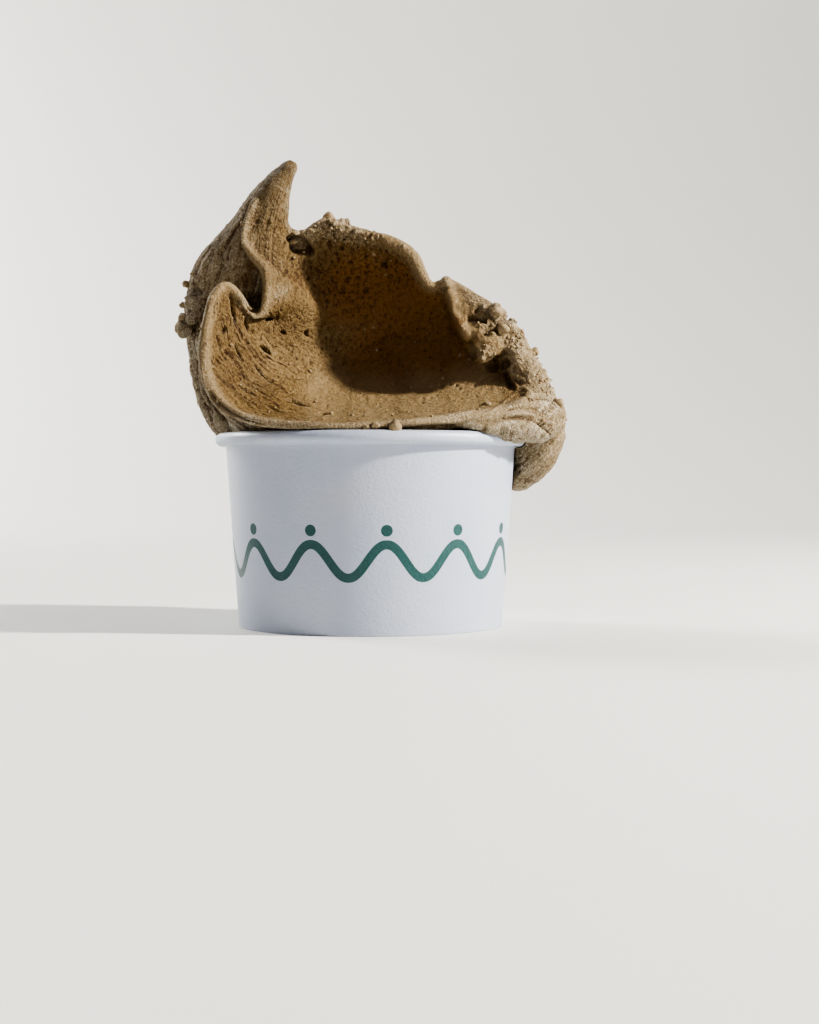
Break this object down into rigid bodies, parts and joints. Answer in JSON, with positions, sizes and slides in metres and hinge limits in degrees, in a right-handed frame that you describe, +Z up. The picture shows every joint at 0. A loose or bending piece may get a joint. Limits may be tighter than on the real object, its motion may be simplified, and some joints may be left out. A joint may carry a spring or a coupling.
{
  "type": "gelato cup",
  "caption": "Small round paper tub with a rolled rim, heaped with brown gelato: a scooped front face, a tall horn at the left, a ragged ridge, and a tongue hanging over the right rim.",
  "frame": {"origin": "on the surface the tub stands on, under the middle of the whole object's outline", "axes": "+Z up along the tub's axis, +Y away from the scooped front face, +X to the viewer's right, the side where the gelato hangs over the rim"},
  "size_m": [0.0946, 0.076, 0.1138],
  "materials": {
    "board": "smooth white coated paperboard with a faint tooth",
    "gelato": "soft matte frozen cream, fine icy grain, frosted on the outside"
  },
  "bodies": {
    "root": {"cup_wall": "board", "cup_base": "board", "gelato": "gelato"}
  },
  "joints": []
}
